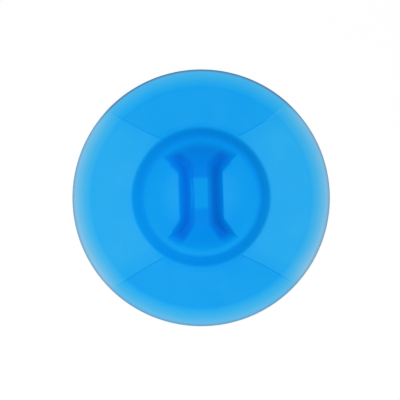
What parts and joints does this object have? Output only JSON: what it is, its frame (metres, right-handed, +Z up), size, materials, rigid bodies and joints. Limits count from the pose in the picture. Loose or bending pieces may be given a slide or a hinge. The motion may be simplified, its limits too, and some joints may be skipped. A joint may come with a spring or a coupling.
{
  "type": "drain stopper",
  "caption": "Round flat silicone drain stopper with a feathered sealing rim, a hollow raised hub and a waisted pinch grip between two finger spaces.",
  "frame": {"origin": "centre of the flat underside, on the surface that the stopper lies on", "axes": "+Z up out of the drain, +Y along the grip and up in the picture, +X to the right in the picture"},
  "size_m": [0.15, 0.15, 0.0185],
  "materials": {
    "blue_silicone": "smooth matte translucent silicone"
  },
  "bodies": {
    "flange": {"sealing_lip": "blue_silicone", "upper_panel": "blue_silicone", "lower_panel": "blue_silicone", "left_wing": "blue_silicone", "right_wing": "blue_silicone"},
    "hub": {"hub_wall": "blue_silicone", "left_finger_rest": "blue_silicone", "right_finger_rest": "blue_silicone", "grip": "blue_silicone"}
  },
  "joints": [
    {"name": "hub_lift", "type": "slide", "parent": "flange", "child": "hub", "axis": [0, 0, 1], "range_m": [0, 0.01], "stiffness_N_per_m": 800, "deforming": ["upper_panel", "lower_panel", "left_wing", "right_wing"]}
  ]
}
